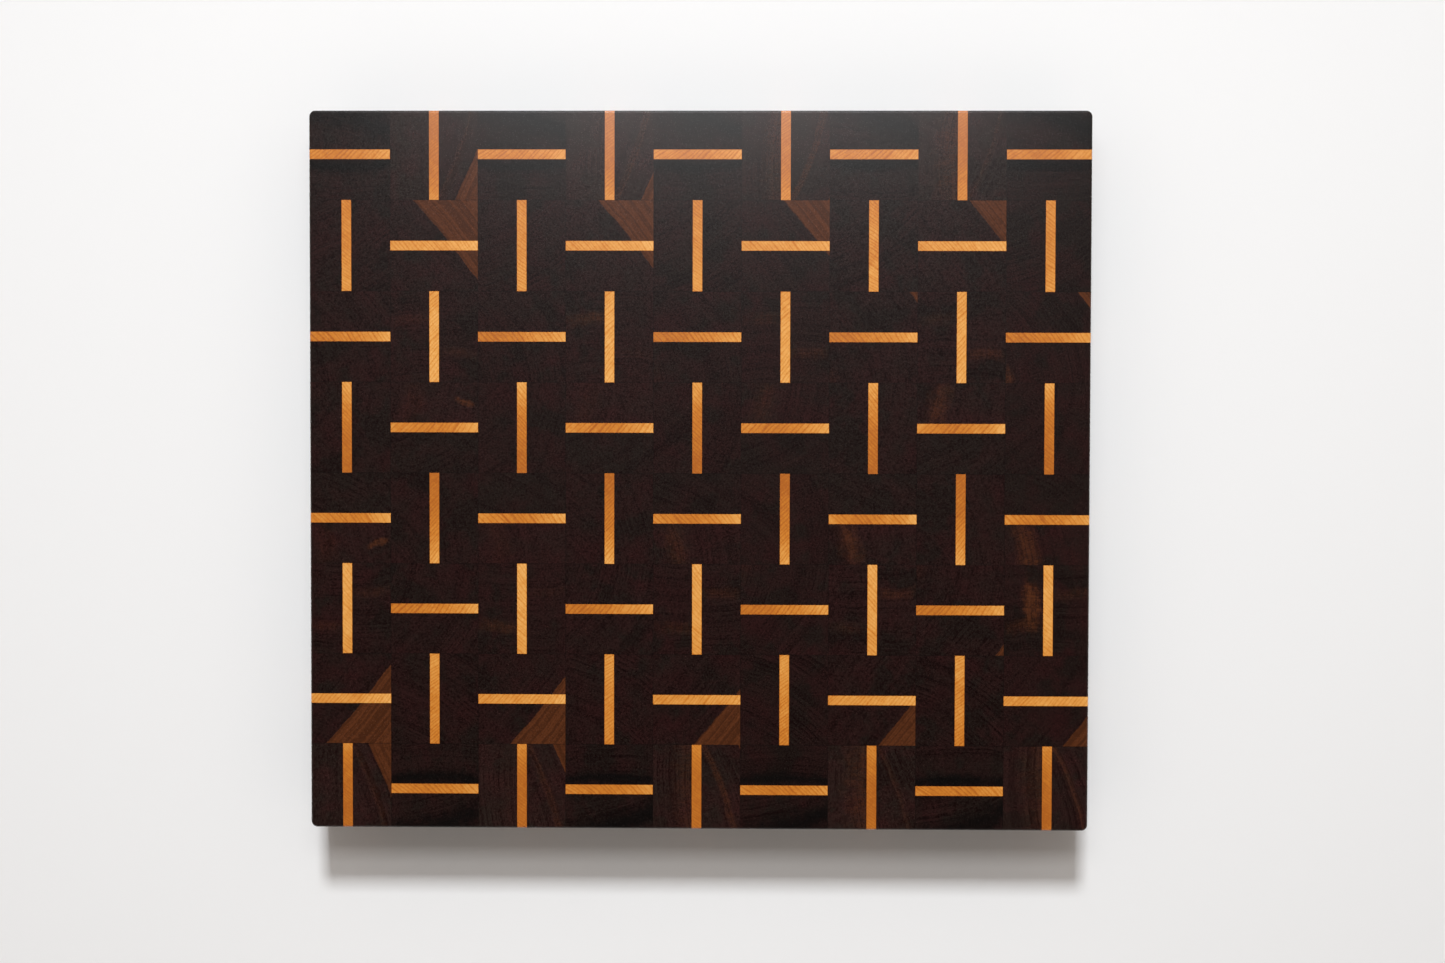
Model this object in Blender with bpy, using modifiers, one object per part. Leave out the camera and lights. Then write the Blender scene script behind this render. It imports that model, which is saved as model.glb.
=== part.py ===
"""End-grain cutting board on four screwed rubber feet.

Nine slices of a glued panel stand side by side along X, end grain up. Each slice is eight
blocks along Y, and each block is two walnut plies with a thin pale strip between. A solid
here is two neighbouring blocks of one slice, so that the board stays a workable number of
pieces. +Z is up, +X is the long side, and the origin is on the ground under the middle.
"""
import bmesh
import bpy
from mathutils import Vector

# Driving dimensions, in metres
WALNUT_PLY = 0.0200          # planed walnut, two to a block
STRIP = 0.0048               # pale strip between them
SLICE_WIDTH = 0.0433         # what the panel was planed to, now the width of a slice
BLOCKS_PER_SLICE = 8
BLOCKS_PER_SOLID = 2
SLICES = 9
TRIM_LEFT = 0.0033           # taken off each side when the glued board was squared up
TRIM_RIGHT = 0.0015
TRIM_FRONT = 0.0029
TRIM_BACK = 0.0009
BOARD_THICKNESS = 0.0318     # how far apart the panel was cross-cut
CORNER_RADIUS = 0.0030
EASED_EDGE = 0.0010
UNDERSIDE = 0.0072           # how high the feet hold the wood
GAP = 0.0003                 # between pieces that meet

FOOT_INSET = 0.0300          # from the board's sides to a foot's middle
FOOT_TOP_RADIUS = 0.0145
FOOT_BASE_RADIUS = 0.0125
FOOT_LIP = 0.0010            # rounding at the foot's base
RECESS_RADIUS = 0.0060
RECESS_DEPTH = 0.0044
WASHER_RADIUS = 0.0052
WASHER_BORE = 0.0023
WASHER_THICKNESS = 0.0010
SHANK_RADIUS = 0.0018
HEAD_RADIUS = 0.0037
HEAD_HEIGHT = 0.0020
SCREW_LENGTH = 0.0160        # under the head
SCREW_POINT = 0.0030
CLEARANCE = 0.0003           # round the shank, in the foot and in the pilot hole
DRIVE_WIDTH = 0.0009         # cross recess in the head
DRIVE_LENGTH = 0.0040
DRIVE_DEPTH = 0.0012

STICK = 2 * WALNUT_PLY + STRIP
WIDTH = SLICES * SLICE_WIDTH - TRIM_LEFT - TRIM_RIGHT
DEPTH = BLOCKS_PER_SLICE * STICK - TRIM_FRONT - TRIM_BACK
BOARD_TOP = UNDERSIDE + BOARD_THICKNESS
BEYOND = 0.01                # how far a cutting shape runs past what it cuts
ROUND_STEPS = 48
SCREW_STEPS = 24


def clear_scene():
    for old in list(bpy.data.objects):
        bpy.data.objects.remove(old, do_unlink=True)


def collection(name):
    made = bpy.data.collections.new(name)
    bpy.context.scene.collection.children.link(made)
    return made


def finish(name, colour, roughness, metallic=0.0):
    made = bpy.data.materials.new(name)
    made.use_nodes = True
    shader = made.node_tree.nodes["Principled BSDF"]
    shader.inputs["Base Color"].default_value = (*colour, 1.0)
    shader.inputs["Roughness"].default_value = roughness
    shader.inputs["Metallic"].default_value = metallic
    return made


def box(name, low, high, home):
    """A box between two corners, with its origin at its middle."""
    low, high = Vector(low), Vector(high)
    bpy.ops.mesh.primitive_cube_add(size=1.0, location=(low + high) / 2)
    made = bpy.context.object
    made.name = name
    made.scale = high - low
    bpy.ops.object.transform_apply(location=False, rotation=False, scale=True)
    move_to(made, home)
    return made


def move_to(made, home):
    for owner in list(made.users_collection):
        owner.objects.unlink(made)
    home.objects.link(made)


def as_cutter(made):
    made.hide_render = True
    made.display_type = "WIRE"
    return made


def boolean(made, operation, other):
    cut = made.modifiers.new(operation.title() + " " + other.name, "BOOLEAN")
    cut.operation = operation
    cut.solver = "EXACT"
    cut.object = other


def turned(name, profile, steps, location, home, closed):
    """A profile of (radius, height) points, run down its outer side, turned about Z."""
    mesh = bpy.data.meshes.new(name)
    work = bmesh.new()
    points = [work.verts.new((radius, 0.0, height)) for radius, height in profile]
    pairs = list(zip(points, points[1:]))
    if closed:
        pairs.append((points[-1], points[0]))
    for first, second in pairs:
        work.edges.new((first, second))
    work.to_mesh(mesh)
    work.free()
    made = bpy.data.objects.new(name, mesh)
    made.location = location
    home.objects.link(made)
    spin = made.modifiers.new("Turn", "SCREW")
    spin.steps = steps
    spin.render_steps = steps
    spin.use_merge_vertices = True
    spin.merge_threshold = 0.00001
    spin.use_smooth_shade = True
    return made


def board_blank(cutters):
    """The whole board's outside: rounded corners in plan, eased edges top and bottom."""
    left = -WIDTH / 2
    front = -DEPTH / 2
    blank = box("board_blank", (left, front, UNDERSIDE),
                (left + WIDTH, front + DEPTH, BOARD_TOP), cutters)
    work = bmesh.new()
    work.from_mesh(blank.data)
    upright = [e for e in work.edges
               if abs(e.verts[0].co.z - e.verts[1].co.z) > BOARD_THICKNESS / 2]
    bmesh.ops.bevel(work, geom=upright, offset=CORNER_RADIUS, segments=4,
                    profile=0.5, affect="EDGES", material=-1)
    half = BOARD_THICKNESS / 2 - EASED_EDGE / 10
    rims = [e for e in work.edges
            if all(v.co.z > half for v in e.verts) or all(v.co.z < -half for v in e.verts)]
    bmesh.ops.bevel(work, geom=rims, offset=EASED_EDGE, segments=3,
                    profile=0.5, affect="EDGES", material=-1)
    work.to_mesh(blank.data)
    work.free()
    return as_cutter(blank)


def share_of(start, pitch, number, count):
    """Where one piece of a row begins and ends. The outer two run past the board's sides."""
    low = start + number * pitch + GAP / 2
    high = low + pitch - GAP
    if number == 0:
        low -= BEYOND
    if number == count - 1:
        high += BEYOND
    return low, high


def block_pairs(blank, home, walnut):
    """Two blocks at a time, each pair the blank's share between its glue lines."""
    made = {}
    left = -WIDTH / 2 - TRIM_LEFT
    front = -DEPTH / 2 - TRIM_FRONT
    pairs = BLOCKS_PER_SLICE // BLOCKS_PER_SOLID
    for column in range(SLICES):
        x_low, x_high = share_of(left, SLICE_WIDTH, column, SLICES)
        for row in range(pairs):
            y_low, y_high = share_of(front, BLOCKS_PER_SOLID * STICK, row, pairs)
            first = row * BLOCKS_PER_SOLID + 1
            name = f"slice_{column + 1}_blocks_{first}_{first + 1}"
            piece = box(name, (x_low, y_low, UNDERSIDE - BEYOND),
                        (x_high, y_high, BOARD_TOP + BEYOND), home)
            piece.data.materials.append(walnut)
            boolean(piece, "INTERSECT", blank)
            made[column, row] = piece
    return made


def foot(name, spot, home, rubber):
    """A tapered rubber bumper with a screw hole and a recess for the head."""
    top = UNDERSIDE - GAP
    hole = SHANK_RADIUS + CLEARANCE
    lip = FOOT_LIP
    profile = [
        (hole, top),
        (FOOT_TOP_RADIUS - lip / 2, top),
        (FOOT_TOP_RADIUS, top - lip / 2),
        (FOOT_BASE_RADIUS, lip),
        (FOOT_BASE_RADIUS - 0.3 * lip, 0.3 * lip),
        (FOOT_BASE_RADIUS - lip, 0.0),
        (RECESS_RADIUS + lip / 2, 0.0),
        (RECESS_RADIUS, lip / 2),
        (RECESS_RADIUS, RECESS_DEPTH),
        (hole, RECESS_DEPTH),
    ]
    made = turned(name, profile, ROUND_STEPS, spot, home, closed=True)
    made.data.materials.append(rubber)
    return made


def washer(name, spot, home, steel):
    top = RECESS_DEPTH - GAP
    bottom = top - WASHER_THICKNESS
    edge = WASHER_THICKNESS / 5
    profile = [
        (WASHER_BORE, top),
        (WASHER_RADIUS - edge, top),
        (WASHER_RADIUS, top - edge),
        (WASHER_RADIUS, bottom + edge),
        (WASHER_RADIUS - edge, bottom),
        (WASHER_BORE, bottom),
    ]
    made = turned(name, profile, ROUND_STEPS, spot, home, closed=True)
    made.data.materials.append(steel)
    return made


def screw(name, spot, home, cutters, steel):
    """A pan-head screw, point up, with a cross recess in its head."""
    seat = RECESS_DEPTH - GAP - WASHER_THICKNESS - GAP
    base = seat - HEAD_HEIGHT
    tip = seat + SCREW_LENGTH
    profile = [
        (0.0, tip),
        (SHANK_RADIUS, tip - SCREW_POINT),
        (SHANK_RADIUS, seat),
        (HEAD_RADIUS, seat),
        (HEAD_RADIUS, seat - 0.45 * HEAD_HEIGHT),
        (0.90 * HEAD_RADIUS, seat - 0.80 * HEAD_HEIGHT),
        (0.65 * HEAD_RADIUS, base),
        (0.0, base),
    ]
    made = turned(name, profile, SCREW_STEPS, spot, home, closed=False)
    made.data.materials.append(steel)
    x, y, _ = spot
    half = DRIVE_LENGTH / 2
    thin = DRIVE_WIDTH / 2
    for arm, (dx, dy) in enumerate(((half, thin), (thin, half))):
        slot = box(f"{name}_drive_{arm + 1}", (x - dx, y - dy, base - BEYOND),
                   (x + dx, y + dy, base + DRIVE_DEPTH), cutters)
        boolean(made, "DIFFERENCE", as_cutter(slot))
    return made


def pilot_hole(name, spot, cutters):
    """The blind hole that a screw goes into, with its drill point."""
    seat = RECESS_DEPTH - GAP - WASHER_THICKNESS - GAP
    end = seat + SCREW_LENGTH + CLEARANCE
    radius = SHANK_RADIUS + CLEARANCE
    profile = [
        (0.0, end + CLEARANCE),
        (radius, end - SCREW_POINT + CLEARANCE),
        (radius, UNDERSIDE - BEYOND),
        (0.0, UNDERSIDE - BEYOND),
    ]
    return as_cutter(turned(name, profile, SCREW_STEPS, spot, cutters, closed=False))


def main():
    clear_scene()
    home = collection("cutting_board")
    cutters = collection("cutters")
    walnut = finish("walnut end grain", (0.018, 0.010, 0.008), 0.45)
    rubber = finish("black rubber", (0.020, 0.020, 0.021), 0.75)
    steel = finish("stainless steel", (0.62, 0.61, 0.59), 0.28, 1.0)

    wood = block_pairs(board_blank(cutters), home, walnut)
    last_column = SLICES - 1
    last_row = BLOCKS_PER_SLICE // BLOCKS_PER_SOLID - 1
    corners = {
        "front_left": (-1, -1, wood[0, 0]),
        "front_right": (1, -1, wood[last_column, 0]),
        "back_left": (-1, 1, wood[0, last_row]),
        "back_right": (1, 1, wood[last_column, last_row]),
    }
    for corner, (side, end, held_by) in corners.items():
        spot = (side * (WIDTH / 2 - FOOT_INSET), end * (DEPTH / 2 - FOOT_INSET), 0.0)
        foot(f"foot_{corner}", spot, home, rubber)
        washer(f"washer_{corner}", spot, home, steel)
        screw(f"screw_{corner}", spot, home, cutters, steel)
        boolean(held_by, "DIFFERENCE", pilot_hole(f"pilot_{corner}", spot, cutters))


main()
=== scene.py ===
"""End-grain cutting board: oiled walnut with pale strips, on four screwed rubber feet.

The board is a basketweave of 72 blocks in nine slices. A block is two walnut plies with a
pale strip between them, and every block of a slice was sawn from one of the same eight
glued sticks. So the wood is one solid pattern along each stick: growth rings, rays and
pores on the top, and the same fibres lengthwise on the sides.
"""

import math
from typing import NamedTuple

import bmesh
import bpy
from bpy.props import FloatProperty, FloatVectorProperty, IntProperty, PointerProperty
from bpy.types import Operator, Panel, PropertyGroup
from mathutils import Matrix, Vector


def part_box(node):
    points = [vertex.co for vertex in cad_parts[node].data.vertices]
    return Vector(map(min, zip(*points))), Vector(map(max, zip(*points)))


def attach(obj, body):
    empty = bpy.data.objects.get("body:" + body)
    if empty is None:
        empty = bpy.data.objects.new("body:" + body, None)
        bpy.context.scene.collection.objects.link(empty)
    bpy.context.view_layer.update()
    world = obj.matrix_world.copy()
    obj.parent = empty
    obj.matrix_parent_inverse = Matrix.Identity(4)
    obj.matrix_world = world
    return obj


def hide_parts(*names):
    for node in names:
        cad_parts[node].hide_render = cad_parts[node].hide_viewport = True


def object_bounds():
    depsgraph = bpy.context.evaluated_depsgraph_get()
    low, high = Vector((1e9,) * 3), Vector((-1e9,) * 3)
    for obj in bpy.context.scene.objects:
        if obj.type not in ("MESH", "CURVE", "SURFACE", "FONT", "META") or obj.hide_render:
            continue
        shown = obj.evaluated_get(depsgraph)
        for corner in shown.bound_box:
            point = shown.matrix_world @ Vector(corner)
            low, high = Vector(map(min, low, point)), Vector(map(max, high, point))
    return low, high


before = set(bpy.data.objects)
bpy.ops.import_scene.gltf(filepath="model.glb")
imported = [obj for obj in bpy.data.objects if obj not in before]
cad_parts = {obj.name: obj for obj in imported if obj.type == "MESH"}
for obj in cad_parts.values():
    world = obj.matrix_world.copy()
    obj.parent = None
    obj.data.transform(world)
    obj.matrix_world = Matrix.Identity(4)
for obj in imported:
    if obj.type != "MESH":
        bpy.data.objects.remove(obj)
cad_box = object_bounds()

bl_info = {
    "name": "End-grain cutting board",
    "version": (1, 0, 0),
    "blender": (4, 5, 0),
    "location": "3D View > Sidebar > Board",
    "description": "Makes a basketweave cutting board of walnut plies and pale strips",
    "category": "Add Mesh",
}

BODY = "root"
SLICES = 9
BLOCKS = 8
BLOCKS_PER_NODE = 2
MM = 0.001
STRIP_PITH = 0.12          # from a strip back to its log's pith
SEED_STEP = 0.2            # sets one piece's figure apart from the next
STRIP_SEEDS = 5.0          # the strips' figure begins past the walnut's
SAW_LIMIT = 1e-7           # corners this near a cut lie on it
SAME_CORNER = 1e-6         # corners this near each other are one


# ------------------------------------ how the wood was sawn

class Streak(NamedTuple):
    """A patch of lighter or darker wood that follows the rings. Millimetres."""
    outward: float = 0.0       # from the block's middle towards the bark
    along: float = 0.0         # from the block's middle along the rings
    width: float = 3.0
    length: float = 10.0
    first: float = 0.0         # strength in the first slice, below 0 for darker wood
    last: float = 0.0          # strength in the last one


class Knot(NamedTuple):
    """Pale swirling wood beside a branch, placed as a streak is. Millimetres."""
    outward: float = 0.0
    along: float = 0.0
    trunk: float = 2000.0      # along the stick, past its end where there is no knot
    size: float = 0.1          # half its width


class Ply(NamedTuple):
    """One walnut ply, seen end on as in an even slice. Millimetres and degrees."""
    bark: float                # the way to the bark, from +X towards +Y
    pith: float                # from the block's middle back to the pith
    ring: float                # one growth ring
    contrast: float            # of the rings
    shade: float               # 1 is the usual walnut, above it is paler
    red: float                 # from 0, greenish, to 1, reddish
    heartwood: float = 500.0   # from the block's middle out to the sapwood, first slice
    growth: float = 0.0        # what each further slice adds to that
    streak: Streak = Streak()
    knot: Knot = Knot()


class Pale(NamedTuple):
    """One pale strip: how light it is at its two ends and its middle, and its rings' lean."""
    start: float
    middle: float
    end: float
    bark: float
    ring: float


class Stick(NamedTuple):
    """Eight of these, glued side by side, were sawn across into the slices."""
    first: Ply                 # the left or the upper ply
    second: Ply                # the right or the lower ply
    strip: Pale


STICKS = (
    Stick(Ply(176, 120, 2.6, 0.50, 1.34, 0.25, streak=Streak(0, 0, 14, 50, 0.0, 0.7)),
          Ply(-22, 150, 2.9, 0.50, 1.32, 0.35, 17.4, 2.4,
              streak=Streak(12, 0, 2.2, 50, 0.3, 0.7)),
          Pale(0.21, 0.11, 0.48, 128, 1.3)),
    Stick(Ply(39, 500, 3.2, 0.30, 1.00, 0.55, 5.6, 1.75),
          Ply(39, 500, 3.2, 0.35, 1.00, 0.50, 5.6, 1.75),
          Pale(0.55, 0.62, 0.78, 38, 1.6)),
    Stick(Ply(86, 90, 2.3, 0.45, 1.00, 0.55, streak=Streak(9, 11, 3.8, 12, 0.55, 0.55),
              knot=Knot(-3.5, 8.0, 294.0, 4.6)),
          Ply(95, 80, 2.4, 0.45, 1.00, 0.50, streak=Streak(-8, -11, 3.6, 11, 0.35, 0.35)),
          Pale(0.62, 0.72, 0.78, 135, 1.7)),
    Stick(Ply(-20, 95, 2.6, 0.30, 1.10, 0.55, streak=Streak(-14, 8, 6.0, 14, 0.2, 0.9),
              knot=Knot(12.0, 17.5, 15.9, 1.9)),
          Ply(-55, 75, 2.9, 0.35, 1.00, 0.10),
          Pale(0.48, 0.32, 0.80, -40, 2.2)),
    Stick(Ply(42, 70, 3.1, 0.30, 1.00, 0.45),
          Ply(20, 85, 2.8, 0.30, 1.00, 0.45),
          Pale(0.08, 0.25, 0.78, 135, 1.5)),
    Stick(Ply(-20, 110, 2.1, 0.50, 1.00, 0.50, streak=Streak(-25, 11, 4, 6, -0.4, 0.7)),
          Ply(-35, 120, 2.1, 0.50, 1.00, 0.50, 37.6, -1.57),
          Pale(0.22, 0.36, 0.74, -38, 2.0)),
    Stick(Ply(62, 105, 2.3, 0.60, 0.95, 0.50),
          Ply(60, 95, 2.4, 0.60, 0.95, 0.50),
          Pale(0.63, 0.45, 0.38, 125, 1.4)),
    Stick(Ply(90, 130, 2.6, 0.50, 0.88, 0.35, streak=Streak(5.8, 0, 4.2, 40, -1.0, -1.0)),
          Ply(-73, 100, 2.8, 0.50, 0.95, 0.35, streak=Streak(18, 4, 8, 40, -1.0, -1.0)),
          Pale(0.40, 0.29, 0.60, 48, 1.8)),
)


# ------------------------------------ sizes and colours

def distance(name, description, default, least=0.0):
    return FloatProperty(name=name, description=description, default=default, min=least,
                         unit="LENGTH", subtype="DISTANCE")


def tint(name, description, default):
    return FloatVectorProperty(name=name, description=description, default=default,
                               min=0.0, max=1.0, size=3, subtype="COLOR")


def factor(name, description, default):
    return FloatProperty(name=name, description=description, default=default,
                         min=0.0, max=1.0, subtype="FACTOR")


def power(name, description, default):
    return FloatProperty(name=name, description=description, default=default,
                         min=0.0, subtype="POWER")


class BoardSettings(PropertyGroup):
    """Sizes of the wooden part."""
    strip: distance("Strip", "Thickness of a pale strip", 0.0048, 0.001)
    corner: distance("Corner radius", "Rounding of the board's corners in plan", 0.003, 0.0005)
    eased: distance("Eased edge", "Rounding of the top and bottom edges", 0.001, 0.0002)
    corner_steps: IntProperty(
        name="Corner steps", description="Faces round one corner", default=12, min=2)
    eased_steps: IntProperty(
        name="Edge steps", description="Faces round one eased edge", default=6, min=2)
    kerf: distance("Saw kerf", "Wood lost between two slices of the glued panel", 0.003)


class WoodSettings(PropertyGroup):
    """Colours and gloss of the two woods."""
    heart_dark: tint("Walnut, dark", "Late wood of the heartwood", (0.0050, 0.0009, 0.0008))
    heart_red: tint("Walnut, reddish", "Early wood where it is reddish", (0.0225, 0.0062, 0.0058))
    heart_green: tint(
        "Walnut, greenish", "Early wood where it is greenish", (0.0130, 0.0078, 0.0060))
    heart_black: tint(
        "Walnut, black", "Mineral streaks in the heartwood", (0.0016, 0.0013, 0.0012))
    sap_dark: tint("Sapwood, dark", "Late wood of the sapwood", (0.0490, 0.0142, 0.0047))
    sap_light: tint("Sapwood, light", "Early wood of the sapwood", (0.0890, 0.0258, 0.0084))
    pale_deep: tint("Strip, deepest", "Pale strip at tone 0", (0.3900, 0.1070, 0.0120))
    pale_amber: tint("Strip, amber", "Pale strip at tone 0.35", (0.5600, 0.1880, 0.0210))
    pale_honey: tint("Strip, honey", "Pale strip at tone 0.7", (0.7000, 0.3120, 0.0650))
    pale_cream: tint("Strip, cream", "Pale strip at tone 1", (0.8200, 0.4450, 0.1380))
    roughness: factor("Roughness", "Roughness of the oiled wood", 0.24)
    specular: factor("Specular", "Specular level of the oiled walnut", 0.5)
    pale_specular: factor("Strip specular", "Specular level of the denser pale strips", 0.9)


class HardwareSettings(PropertyGroup):
    """Sizes and colours of the feet, washers and screws."""
    foot_bore: distance("Foot bore", "Radius of a foot's screw hole", 0.0021)
    foot_taper: distance("Foot taper", "How much narrower a foot is at its base", 0.0022)
    foot_lip: distance("Foot lip", "Rounding at a foot's base", 0.0010)
    recess: distance("Recess", "Radius of the recess for the screw head", 0.0060)
    recess_depth: distance("Recess depth", "Depth of the recess for the screw head", 0.0044)
    washer_bore: distance("Washer bore", "Radius of a washer's hole", 0.0023)
    head_height: distance("Head height", "Height of a screw's head", 0.0020)
    shank: distance("Shank", "Radius of a screw over its thread", 0.0018)
    core: distance("Core", "Radius of a screw between its threads", 0.0013)
    pitch: distance("Pitch", "From one turn of the thread to the next", 0.0014, 0.0001)
    point: distance("Point", "Length of a screw's point", 0.0030, 0.0001)
    drive_length: distance("Drive length", "Length of the cross recess", 0.0040)
    drive_width: distance("Drive width", "Width of an arm of the cross recess", 0.0009)
    drive_depth: distance("Drive depth", "Depth of the cross recess", 0.0012)
    rubber: tint("Rubber", "Black rubber of the feet", (0.020, 0.020, 0.021))
    steel: tint("Steel", "Stainless steel of the screws and washers", (0.62, 0.61, 0.59))


class StageSettings(PropertyGroup):
    """Floor, lights and camera."""
    floor: tint("Floor", "Pale floor that curves up into a low wall", (0.80, 0.80, 0.80))
    key: power("Key light", "Power of the main soft light", 19.5)
    sheen: power("Sheen light", "Power of the light that shows the wood's gloss", 5.1)
    room: factor("Room light", "Strength of the light from all round", 0.5)
    lens: FloatProperty(
        name="Lens", description="Focal length of the camera in millimetres",
        default=52.0, min=10.0, unit="CAMERA")


# ------------------------------------ shader maths

class Wire:
    """A node's output, so that node maths reads as ordinary sums."""

    def __init__(self, graph, socket):
        self.graph = graph
        self.socket = socket

    def maths(self, operation, *values):
        return self.graph.node("ShaderNodeMath", {"operation": operation},
                               dict(enumerate(values)))

    def __add__(self, other):
        return self.maths("ADD", self, other)

    def __radd__(self, other):
        return self.maths("ADD", other, self)

    def __sub__(self, other):
        return self.maths("SUBTRACT", self, other)

    def __rsub__(self, other):
        return self.maths("SUBTRACT", other, self)

    def __mul__(self, other):
        return self.maths("MULTIPLY", self, other)

    def __rmul__(self, other):
        return self.maths("MULTIPLY", other, self)

    def __truediv__(self, other):
        return self.maths("DIVIDE", self, other)

    def __rtruediv__(self, other):
        return self.maths("DIVIDE", other, self)

    def __abs__(self):
        return self.maths("ABSOLUTE", self)

    def over(self, other):
        """The larger of two values."""
        return self.maths("MAXIMUM", self, other)

    def under(self, other):
        """The smaller of two values."""
        return self.maths("MINIMUM", self, other)

    def root(self):
        return self.maths("SQRT", self)

    def rest(self):
        """What is left over a whole number."""
        return self.maths("FRACT", self)

    def step(self, start, end, low=0.0, high=1.0):
        """Goes smoothly from low to high as the value goes from start to end."""
        return self.graph.node("ShaderNodeMapRange", {"interpolation_type": "SMOOTHSTEP"}, {
            "Value": self, "From Min": start, "From Max": end, "To Min": low, "To Max": high})


class Graph:
    """The nodes of a material or world."""

    def __init__(self, owner, shader="Principled BSDF"):
        owner.use_nodes = True
        self.material = owner
        self.tree = owner.node_tree
        self.shader = self.tree.nodes[shader]

    def node(self, kind, settings=None, sockets=None, output=0):
        """Adds a node: its settings first, then the values or wires of its sockets."""
        made = self.tree.nodes.new(kind)
        for name, value in (settings or {}).items():
            if name == "stops":
                set_stops(made.color_ramp, value)
            else:
                setattr(made, name, value)
        for key, value in (sockets or {}).items():
            self.connect(made.inputs[key], value)
        return Wire(self, made.outputs[output])

    def connect(self, socket, value):
        if isinstance(value, Wire):
            self.tree.links.new(value.socket, socket)
        else:
            socket.default_value = value

    def surface(self, **sockets):
        """Sets the shader's own sockets, named with _ for a space."""
        for name, value in sockets.items():
            self.connect(self.shader.inputs[name.replace("_", " ")], value)

    def attribute(self, name):
        """The three numbers of an attribute that the mesh carries."""
        return self.split(self.node("ShaderNodeAttribute", {"attribute_name": name},
                                    output="Vector"))

    def split(self, vector):
        parts = self.node("ShaderNodeSeparateXYZ", None, {0: vector})
        outputs = parts.socket.node.outputs
        return [Wire(self, outputs[axis]) for axis in range(3)]

    def point(self, x, y, z):
        return self.node("ShaderNodeCombineXYZ", None, {0: x, 1: y, 2: z})

    def noise(self, at, scale, detail=2.0, roughness=0.5):
        return self.node("ShaderNodeTexNoise", None, {
            "Vector": at, "Scale": scale, "Detail": detail, "Roughness": roughness})

    def cells(self, at, scale):
        """Distance to the nearest of many scattered points."""
        return self.node("ShaderNodeTexVoronoi", None, {"Vector": at, "Scale": scale},
                         output="Distance")

    def mix(self, amount, first, second):
        """One colour into another."""
        return self.node("ShaderNodeMix", {"data_type": "RGBA"},
                         {0: amount, 6: first, 7: second}, output=2)

    def scaled(self, colour, amount):
        return self.node("ShaderNodeVectorMath", {"operation": "SCALE"},
                         {0: colour, "Scale": amount})

    def ramp(self, value, stops):
        return self.node("ShaderNodeValToRGB", {"stops": stops}, {0: value})

    def bump(self, height, relief):
        return self.node("ShaderNodeBump", None, {"Height": height, "Distance": relief})


def set_stops(ramp, stops):
    """Gives a colour ramp its (place, colour) stops."""
    while len(ramp.elements) > 1:
        ramp.elements.remove(ramp.elements[-1])
    first, *others = stops
    ramp.elements[0].position = first[0]
    ramp.elements[0].color = first[1]
    for place, colour in others:
        ramp.elements.new(place).color = colour


def new_material(name):
    return Graph(bpy.data.materials.new(name))


def rgba(colour):
    return (*colour, 1.0)


# ------------------------------------ wood materials

# How fine each figure is, in repeats to a metre
SWAY = 38.0                # the rings wander
WAVES = 60.0               # and wave along their length
UNEVEN_RINGS = 120.0       # wide and narrow years
PATCHES = 70.0             # where the rings show well
SHADOWS = 48.0             # dull greenish areas
HUES = 80.0                # reddish and greenish areas
BANDS = 210.0              # lighter and darker growth
MOTTLE = 420.0
FINE_GRAIN = 1250.0
PORES = 1250.0
RAYS = 1900.0
SAP_DOTS = 1050.0
THREADS = 900.0            # in streaks and knots
RAGGED_EDGES = 240.0
COME_AND_GO = 24.0         # streaks fade and return along the trunk
PALE_UNEVEN_RINGS = 260.0
PALE_DRIFT = 75.0
PALE_MOTTLE = 400.0
PALE_FINE_GRAIN = 1300.0
PALE_PORES = 2600.0
PALE_RAYS = 2400.0

# How fast they change along the trunk, 1 being as fast as across it
SLOW_CHANGE = 0.12
FIBRE_CHANGE = 0.03
RING_CHANGE = 0.05
RAY_CHANGE = 0.25

SWAY_REACH = 0.0030        # how far the rings wander
WAVE_REACH = 0.0012
RAY_WAVE = 0.0010
RAY_STRETCH = 0.10         # how fast rays change towards the bark
ELSEWHERE = 7.0            # another place in the same noise
KNOT_STRETCH = 0.38        # how fast a knot changes towards the bark
KNOT_TRUNK_STRETCH = 0.30  # and along the trunk
KNOT_SWAY = 0.006
GLUE_LINE = 0.00020        # how far a joint's dark hairline reaches
GLUE_LINE_CORE = 0.00004   # and where it is darkest
GRAIN_RELIEF = 0.00002     # height of the pores and grain


class Spot(NamedTuple):
    """Where a spot lies in its log, as wires."""
    depth: Wire                # towards the bark, from the ring through the block's middle
    along: Wire                # along the rings
    trunk: Wire                # along the trunk
    ring: Wire                 # width of one ring
    seed: Wire                 # tells one piece from another
    sway: Wire
    slow: Wire                 # points for slow figures, fibres and rays
    fibre: Wire
    ray: Wire

    def by_ring(self, graph, depth):
        """Points for a figure that is the same all round a ring."""
        return graph.point(depth, self.seed, self.trunk * RING_CHANGE)


def wood_spot(graph):
    """Reads a spot's place in its log and lets the rings sway there."""
    out, along, trunk = graph.attribute("grain")
    pith, seed, ring = graph.attribute("log")
    across = along + seed
    slow = graph.point(out, across, trunk * SLOW_CHANGE)
    sway = graph.noise(slow, SWAY, 3.0) - 0.5
    elsewhere = graph.point(out + ELSEWHERE, across, trunk * SLOW_CHANGE)
    wave = graph.noise(elsewhere, WAVES) - 0.5
    depth = ((pith + out) * (pith + out) + along * along).root() - pith
    depth = depth + sway * SWAY_REACH + wave * WAVE_REACH
    fibre = graph.point(out, across, trunk * FIBRE_CHANGE)
    ray = graph.point(depth * RAY_STRETCH, across + wave * RAY_WAVE, trunk * RAY_CHANGE)
    return Spot(depth, along, trunk, ring, seed, sway, slow, fibre, ray)


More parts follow.
